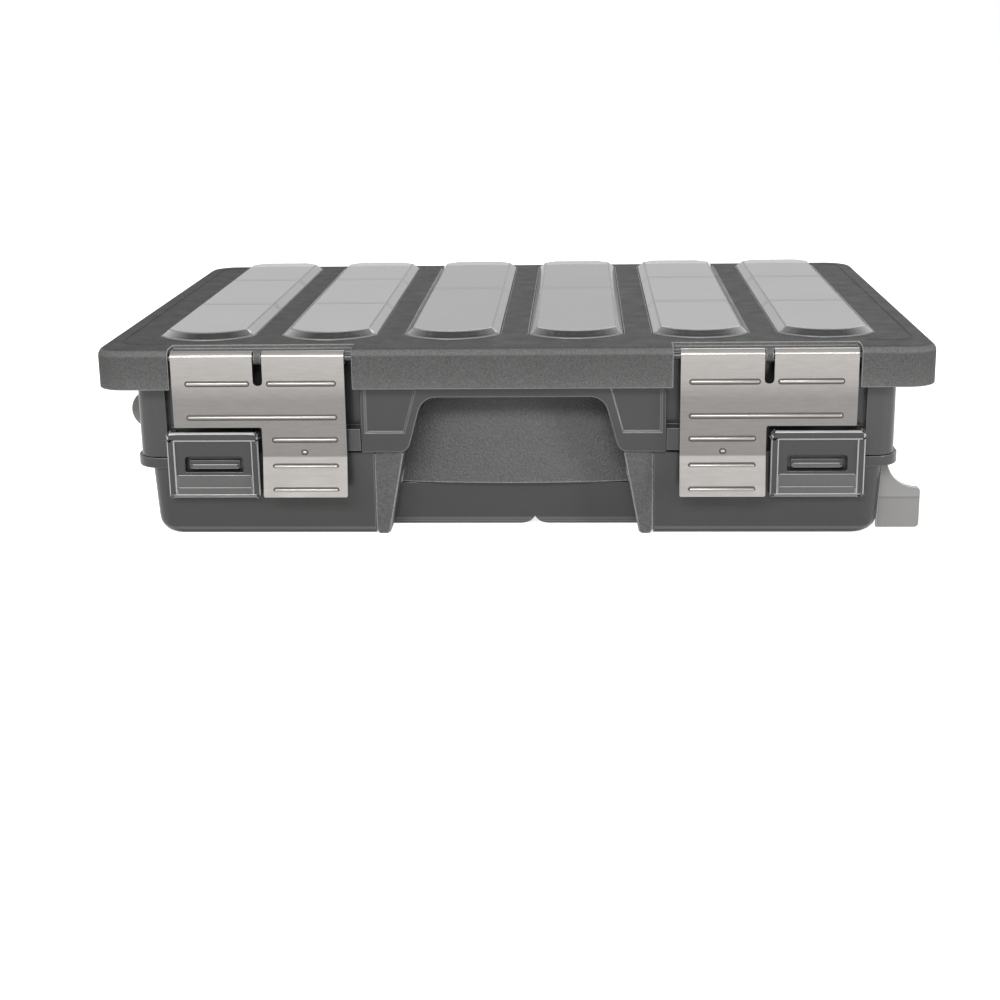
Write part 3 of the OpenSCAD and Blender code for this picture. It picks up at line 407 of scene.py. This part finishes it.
# %% Piece helpers
def finished(work, name, material):
    data = bpy.data.meshes.new(name)
    work.to_mesh(data)
    work.free()
    data.shade_smooth()
    data.materials.append(material)
    piece = bpy.data.objects.new(name, data)
    bpy.context.scene.collection.objects.link(piece)
    return piece


def thickened(piece, thickness):
    """Gives a sheet its thickness, behind its face."""
    shell = piece.modifiers.new("thickness", "SOLIDIFY")
    shell.thickness = thickness
    shell.offset = -1


def rounded_off(piece, width, segments=2, sharp_from=50, edge_slot=-1, weighted=True):
    """Rounds every edge that turns more than the given angle, in degrees."""
    rounding = piece.modifiers.new("rounding", "BEVEL")
    rounding.width = width
    rounding.segments = segments
    rounding.profile = 0.5
    rounding.limit_method = "ANGLE"
    rounding.angle_limit = math.radians(sharp_from)
    rounding.material = edge_slot
    rounding.use_clamp_overlap = edge_slot < 0
    if weighted:
        piece.modifiers.new("shading", "WEIGHTED_NORMAL").weight = 90


def turn_towards(work, axis, sign):
    """Turns a sheet so that its first face looks along or against an axis."""
    bmesh.ops.recalc_face_normals(work, faces=work.faces)
    if getattr(next(iter(work.faces)).normal, axis) * sign < 0:
        bmesh.ops.reverse_faces(work, faces=work.faces)


print("piece helpers ready")

# %% [markdown]
# ## Softened copies
# Mouldings have no knife edges. A CAD mesh is loose triangles, so a copy is merged, its flat
# faces are joined up again, and a small bevel with weighted normals rounds every sharp edge.

# %% Soften the mouldings
body_of_node = {name: body for body, names in frame["record"]["behaviour"]["bodies"].items()
                for name in names}


def softened(name, width):
    source = frame["nodes"][name]
    finish = source.data.materials[0]
    same_place = 5e-6
    flat = math.radians(0.6)
    work = bmesh.new()
    work.from_mesh(source.data)
    bmesh.ops.remove_doubles(work, verts=work.verts, dist=same_place)
    bmesh.ops.dissolve_degenerate(work, edges=work.edges, dist=same_place)
    bmesh.ops.dissolve_limit(work, angle_limit=flat, verts=work.verts, edges=work.edges)
    piece = finished(work, name + "_soft", finish)
    # The rounding takes the edge finish of its plastic: a painted highlight on the mouldings, a
    # painted dark rim on the panes.
    piece.data.materials.append(painted_edge_of[finish])
    rounded_off(piece, width, sharp_from=35, edge_slot=1)
    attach(piece, body_of_node[name])
    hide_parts(name)
    print(piece.name, len(piece.data.polygons), "faces before rounding")


edge_radius = {"lid_shell": 0.0004, "tray_shell": 0.0002, "handle_frame": 0.0006,
               "tub_shell": 0.0003, "grip": 0.0007, "side_tab": 0.0003, "side_lug": 0.0003}
edge_radius |= {f"window_{number}": 0.0005 for number in range(1, 7)}
for name, width in edge_radius.items():
    softened(name, width)

# %% [markdown]
# ## Lid latches of folded sheet
# A real lid latch is one strip of sheet. It starts here as a flat blank: an outline with round
# corners and a slot. Cuts across the blank mark where it bends, then every vertex is moved
# along the folded profile: round the hinge bar, down the plate and out along the finger tab.

# %% Latch sizes
latch_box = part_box("lid_latch_right")
latch_in, latch_out = latch_box[0].x, latch_box[1].x
sheet_t = 1.3 * mm
roll_r = 3 * mm
roll_turn = math.radians(250)
axis_z = latch_box[1].z - roll_r
foot_z = latch_box[0].z
flare = 3 * mm
plate_y = latch_box[0].y + flare
neck = latch_in + 35.4 * mm
step_z = axis_z - 28.9 * mm
bend_z = foot_z + 16.8 * mm
hook_x = (latch_in + latch_out) / 2
slot_half = 2 * mm
slot_z = axis_z - 11.2 * mm + slot_half
sizes = (latch_in, latch_out, axis_z, step_z, bend_z, foot_z, plate_y)
print("latch", [round(v / mm, 1) for v in sizes])


# %% Rounded outlines
def rounded(corners, steps=5):
    """Points of an outline whose corners (x, y, radius) are rounded."""
    points = []
    for index, (x, y, radius) in enumerate(corners):
        here = Vector((x, y))
        before = Vector(corners[index - 1][:2])
        after = Vector(corners[(index + 1) % len(corners)][:2])
        if radius == 0:
            points.append(here)
            continue
        start = here + (before - here).normalized() * radius
        end = here + (after - here).normalized() * radius
        for step in range(steps + 1):
            t = step / steps
            points.append(start * (1 - t) ** 2 + here * 2 * t * (1 - t) + end * t ** 2)
    return points


print("outline helper ready")


# %% Latch blank and fold
def fold(along):
    """Y and Z of the sheet's outer face at a distance above the hinge bar's level."""
    if along > 0:
        angle = math.pi - along / roll_r
        return plate_y + roll_r + roll_r * math.cos(angle), axis_z + roll_r * math.sin(angle)
    if along > bend_z - axis_z:
        return plate_y, axis_z + along
    share = (bend_z - axis_z - along) / math.hypot(bend_z - foot_z, flare)
    return plate_y - flare * share, bend_z - (bend_z - foot_z) * share


def latch_plate(name, side):
    top = roll_r * roll_turn
    low = bend_z - axis_z - math.hypot(bend_z - foot_z, flare)
    slot_low = slot_z - axis_z - slot_half
    step = step_z - axis_z
    corners = [(latch_in, low, 0.8 * mm), (neck, low, 0.8 * mm), (neck, step, 1 * mm),
               (latch_out, step, 0.8 * mm), (latch_out, top, 0.6 * mm),
               (hook_x + slot_half, top, 0), (hook_x + slot_half, slot_low, slot_half),
               (hook_x - slot_half, slot_low, slot_half), (hook_x - slot_half, top, 0),
               (latch_in, top, 0.6 * mm)]
    work = bmesh.new()
    work.faces.new([work.verts.new((side * x, 0, z)) for x, z in rounded(corners)])
    bends, same_height = 18, 1e-7
    cuts = [top * k / bends for k in range(bends)] + [bend_z - axis_z, slot_low - 1 * mm]
    for cut in cuts:
        whole = work.verts[:] + work.edges[:] + work.faces[:]
        bmesh.ops.bisect_plane(work, geom=whole, dist=same_height, plane_co=(0, 0, cut),
                               plane_no=(0, 0, 1))
    for vert in work.verts:
        vert.co.y, vert.co.z = fold(vert.co.z)
    bmesh.ops.recalc_face_normals(work, faces=work.faces)
    lowest = min(work.faces, key=lambda face: face.calc_center_median().z)
    if lowest.normal.y > 0:
        bmesh.ops.reverse_faces(work, faces=work.faces)
    piece = finished(work, name, latch_silver)
    thickened(piece, sheet_t)
    rounded_off(piece, 0.25 * mm)
    return piece


print("fold at the tab's tip", [round(v / mm, 1) for v in fold(foot_z - axis_z)])

# %% [markdown]
# The ribs pressed into the sheet are beads with round ends, and a flat darker bed round each
# one is a painted shadow along its press line. A seventh, short one is the rivet.

# %% Ribs
# On the sloping finger tab, each length down takes a little more length of sheet.
rib_r, bed = 0.7 * mm, 0.6 * mm
bed_flatness = 0.1
tab_slope = 1.016


def raised_rib(name, x_from, x_to, z, radius=rib_r, material=rib_silver, flatness=0.9):
    """A bead with round ends, half sunk in the latch's front."""
    low, high = sorted((x_from, x_to))
    y = fold(z - axis_z if z > bend_z else bend_z - axis_z - (bend_z - z) * tab_slope)[0]
    work = bmesh.new()
    bmesh.ops.create_uvsphere(work, u_segments=16, v_segments=9, radius=radius,
                              matrix=Matrix.Rotation(math.pi / 2, 4, "Y"))
    for vert in work.verts:
        vert.co.x += low + radius if vert.co.x < 0 else high - radius
        vert.co.y = vert.co.y * flatness + y
        vert.co.z += z
    return finished(work, name, material)


rib_in, rib_out, rib_neck = latch_in + 4 * mm, latch_out - 6 * mm, neck - 4.6 * mm
top_rib_z, long_rib_z = slot_z - 1.1 * mm, step_z + 4.3 * mm
neck_middle = (latch_in + neck) / 2
ribs = [(rib_in, hook_x - 2 * slot_half, top_rib_z), (hook_x + 2 * slot_half, rib_out, top_rib_z),
        (rib_in, rib_out, long_rib_z), (rib_in, rib_neck, long_rib_z - 9.6 * mm),
        (rib_in, rib_neck, bend_z - 4 * mm), (rib_in, rib_neck, foot_z + 3 * mm)]
rivet = (neck_middle - 1 * mm, neck_middle + 1 * mm, bend_z + 2 * mm)
print(len(ribs), "ribs and a rivet on each latch")

# %% Build the lid latches
for side, tag in ((-1, "left"), (1, "right")):
    pieces = [latch_plate(f"latch_plate_{tag}", side)]
    for k, (a, b, z) in enumerate(ribs + [rivet]):
        pieces.append(raised_rib(f"latch_rib_{tag}_{k + 1}", side * a, side * b, z))
        # The wider, darker bed under each rib is a painted shadow.
        pieces.append(raised_rib(f"latch_groove_{tag}_{k + 1}", side * (a - bed), side * (b + bed),
                                 z, rib_r + bed, rib_shadow, bed_flatness))
    for piece in pieces:
        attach(piece, f"latch_{tag}")
        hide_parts(f"lid_latch_{tag}")
    print(tag, "latch:", len(pieces), "pieces")

# %% [markdown]
# ## Deck latches
# The lower latches are glossy mouldings: a plate with a window for its tongue, a rail down each
# side, a rolled top and steps that a fingertip finds. Each part of it is a flat outline that a
# Solidify modifier thickens and a Bevel modifier rounds, which keeps every radius easy to change.

# %% Rounded slabs
def slab(name, outline, y_front, thick, radius, material, holes=(), edge_slot=1):
    """A plate standing across Y, with round edges. Outline and holes are (x, z) points."""
    work = bmesh.new()
    rims = []
    for points in (outline, *holes):
        verts = [work.verts.new((x, y_front, z)) for x, z in points]
        rims += [work.edges.new((verts[k - 1], verts[k])) for k in range(len(verts))]
    bmesh.ops.triangle_fill(work, use_beauty=True, use_dissolve=False, edges=rims)
    turn_towards(work, "y", -1)
    piece = finished(work, name, material)
    # The rounding takes the paler edge finish: a painted highlight.
    piece.data.materials.append(painted_edge_of[material])
    thickened(piece, thick)
    rounded_off(piece, radius, segments=3, edge_slot=edge_slot)
    return piece


def box_outline(side, x1, x2, z1, z2, low, high):
    """A box in X and Z with one corner radius at its bottom and one at its top."""
    left, right = sorted((side * x1, side * x2))
    return rounded([(left, z1, low), (right, z1, low), (right, z2, high), (left, z2, high)])


print("slab helpers ready")

# %% Deck latch sizes
# Fronts that overlap stand at slightly different depths, so that no two lie in one plane.
# Each part has a name, its box, the place of its front, its thickness, the radius of its edges
# and its finish. A box is two places along X, two along Z and the corner radii at its bottom
# and top.
clasp_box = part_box("deck_latch_right")
clasp_in, clasp_out = clasp_box[0].x, clasp_box[1].x
clasp_low, clasp_high = clasp_box[0].z, clasp_box[1].z
proud_y = clasp_box[0].y
plate_front = proud_y + 1.3 * mm
plate_thick = 2 * mm
rail_y, lip_y = proud_y + 0.2 * mm, proud_y + 0.1 * mm
jamb, rail = 7.15 * mm, 3.4 * mm
inner_1, inner_2 = clasp_in + rail, clasp_out - rail
rail_top = clasp_high - 2 * mm
window_low = clasp_low + 10.9 * mm
window_high = window_low + 6.6 * mm
corner, rail_corner = 0.6 * mm, 1 * mm
clasp_parts = [
    ("roll", (clasp_in, clasp_out, clasp_high - 4.2 * mm, clasp_high, 1 * mm, 1.8 * mm),
     proud_y, 3 * mm, 0.9 * mm, clasp_plastic),
    ("rail_in", (clasp_in, inner_1, clasp_low, rail_top, rail_corner, rail_corner),
     rail_y, 2.8 * mm, 0.6 * mm, clasp_plastic),
    ("rail_out", (inner_2, clasp_out, clasp_low, rail_top, rail_corner, rail_corner),
     rail_y, 2.8 * mm, 0.6 * mm, clasp_plastic),
    # The step and the rise wear the paler copy of the plastic: painted light.
    ("step", (inner_1, inner_2, clasp_low, window_low - 1.2 * mm, corner, corner),
     plate_front - 0.5 * mm, 2.1 * mm, 0.3 * mm, clasp_lit_plastic),
    ("rise", (inner_1, inner_2, clasp_low, clasp_low + 4.4 * mm, corner, corner),
     plate_front - 0.9 * mm, 2.3 * mm, 0.3 * mm, clasp_lit_plastic),
    ("lip", (clasp_in + 1 * mm, clasp_out - 1 * mm, clasp_low, clasp_low + 1.5 * mm,
             corner, corner), lip_y, 2.9 * mm, 0.5 * mm, clasp_plastic),
]
opening_box = (clasp_in + jamb, clasp_out - jamb, window_low, window_high, 0.5 * mm, 1.8 * mm)
plate_box = (clasp_in, clasp_out, clasp_low, clasp_high - 1.5 * mm, 0.8 * mm, 2.5 * mm)
tongue_margin = jamb + 1.9 * mm
tongue_box = (clasp_in + tongue_margin, clasp_out - tongue_margin, window_low + 0.9 * mm,
              window_low + 3 * mm, corner, corner)
tongue_y = plate_front + plate_thick - 0.4 * mm
print(len(clasp_parts) + 1, "parts in a deck latch")

# %% Build the deck latches
for side, tag in ((-1, "left"), (1, "right")):
    opening = box_outline(side, *opening_box)
    pieces = [slab(f"clasp_plate_{tag}", box_outline(side, *plate_box), plate_front, plate_thick,
                   0.4 * mm, clasp_plastic, [opening], edge_slot=0)]
    for part, box, y_front, thick, radius, finish in clasp_parts:
        pieces.append(slab(f"clasp_{part}_{tag}", box_outline(side, *box), y_front, thick, radius,
                           finish))
    for piece in pieces:
        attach(piece, f"clasp_{tag}")
        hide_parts(f"deck_latch_{tag}")
    # The bar on each tongue is paler than the tub, with paler edges: a painted highlight along the
    # tongue's top edge.
    tongue_highlight_bar = slab(f"tongue_lip_{tag}", box_outline(side, *tongue_box), tongue_y, 1.2 * mm,
                      0.35 * mm, clasp_lit_plastic)
    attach(tongue_highlight_bar, "tub")
    print(tag, "deck latch:", len(pieces), "pieces and the lip of its tongue")

# %% [markdown]
# ## Border bead of the lid
# The lid's flat top has a fine bead a little in from its edge, which turns in at the corners
# and stops at the latch pockets. It is a narrow strip between two rounded paths.

# %% Lid bead
lid_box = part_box("lid_shell")
bead_x = lid_box[1].x - 7.8 * mm
bead_front, bead_back = lid_box[0].y + 15.5 * mm, lid_box[1].y - 13 * mm
pocket_x, back_x = 146 * mm, 155 * mm
half_w, turn_r = 0.4 * mm, 9 * mm
bead_top = lid_box[1].z + 0.25 * mm


def bead_path(out):
    """One side of the bead, the given distance outside its middle line."""
    x, radius = bead_x + out, turn_r + out
    return rounded([(pocket_x, bead_front - out, 0), (x, bead_front - out, radius),
                    (x, bead_back + out, radius), (back_x, bead_back + out, 0)])


for side, tag in ((-1, "left"), (1, "right")):
    work = bmesh.new()
    outer, inner = ([work.verts.new((side * x, y, bead_top)) for x, y in bead_path(out)]
                    for out in (half_w, -half_w))
    for k in range(len(outer) - 1):
        work.faces.new((outer[k], outer[k + 1], inner[k + 1], inner[k]))
    turn_towards(work, "z", 1)
    bead = finished(work, f"lid_bead_{tag}", lid_texture)
    thickened(bead, 0.5 * mm)
    rounded_off(bead, 0.15 * mm, weighted=False)
    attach(bead, "lid")
print("lid bead done")

# %% [markdown]
# ## Floor, world and lamps
# The case stands on a white floor that still takes its shadow. The floor and the world show
# white to the camera and in reflections, and soft lamps light the case at a plain level.

# %% White floor
in_gloss, floor_glow = 0.5, 0.82


def backdrop_share(tree):
    """1 for rays from the camera or through a clear surface, less for those from a glossy one."""
    path = tree.nodes.new("ShaderNodeLightPath").outputs
    gloss = maths(tree, "MULTIPLY", path["Is Glossy Ray"], in_gloss)
    seen = maths(tree, "MAXIMUM", path["Is Camera Ray"], gloss)
    return maths(tree, "MAXIMUM", seen, path["Is Transmission Ray"])


floor_finish = bpy.data.materials.new("floor_finish")
floor_finish.use_nodes = True
tree = floor_finish.node_tree
tree.nodes.clear()
output = tree.nodes.new("ShaderNodeOutputMaterial")
matte = node(tree, "ShaderNodeBsdfDiffuse", Color=(0.80, 0.80, 0.80, 1))
glow = node(tree, "ShaderNodeEmission", Color=(1, 1, 1, 1))
both = tree.nodes.new("ShaderNodeAddShader")
tree.links.new(maths(tree, "MULTIPLY", backdrop_share(tree), floor_glow), glow.inputs["Strength"])
tree.links.new(matte.outputs[0], both.inputs[0])
tree.links.new(glow.outputs[0], both.inputs[1])
tree.links.new(both.outputs[0], output.inputs["Surface"])

floor_shape = bmesh.new()
bmesh.ops.create_grid(floor_shape, x_segments=1, y_segments=1, size=6)
floor_data = bpy.data.meshes.new("floor")
floor_shape.to_mesh(floor_data)
floor_shape.free()
floor_data.materials.append(floor_finish)
floor = bpy.data.objects.new("floor", floor_data)
bpy.context.scene.collection.objects.link(floor)
print("floor laid")

# %% White world
light_level, seen_level = 0.32, 1.0
world = bpy.data.worlds.new("studio")
bpy.context.scene.world = world
world.use_nodes = True
tree = world.node_tree
tree.nodes.clear()
output = tree.nodes.new("ShaderNodeOutputWorld")
sky = node(tree, "ShaderNodeBackground", Color=(1, 1, 1, 1))
sky_level = node(tree, "ShaderNodeMapRange", To_Min=light_level, To_Max=seen_level)
tree.links.new(backdrop_share(tree), sky_level.inputs["Value"])
tree.links.new(sky_level.outputs[0], sky.inputs["Strength"])
tree.links.new(sky.outputs[0], output.inputs["Surface"])
print("world lights at", light_level)

# %% Soft lamps
def softbox(name, place, target, width, height, watts):
    data = bpy.data.lights.new(name, "AREA")
    data.shape = "RECTANGLE"
    data.size, data.size_y, data.energy = width, height, watts
    lamp = bpy.data.objects.new(name, data)
    bpy.context.scene.collection.objects.link(lamp)
    lamp.location = place
    lamp.rotation_euler = (Vector(target) - Vector(place)).to_track_quat("-Z", "Y").to_euler()


softbox("top_box", (0, -0.1, 1.4), (0, 0, 0), 1.6, 1.0, 2)
softbox("front_box", (-0.3, -1.5, 1.0), (0, -0.1, 0.03), 1.4, 0.4, 32)
softbox("right_box", (1.3, -0.9, 0.35), (0.1, -0.1, 0.04), 0.25, 0.8, 15)
softbox("back_box", (0.3, 1.7, 1.0), (0, 0.1, 0.03), 1.4, 0.5, 9)
softbox("left_box", (-1.3, -0.9, 0.35), (-0.1, -0.1, 0.04), 0.25, 0.8, 3)
bpy.context.scene.view_settings.view_transform = "Standard"
print(len(bpy.data.lights), "lamps")
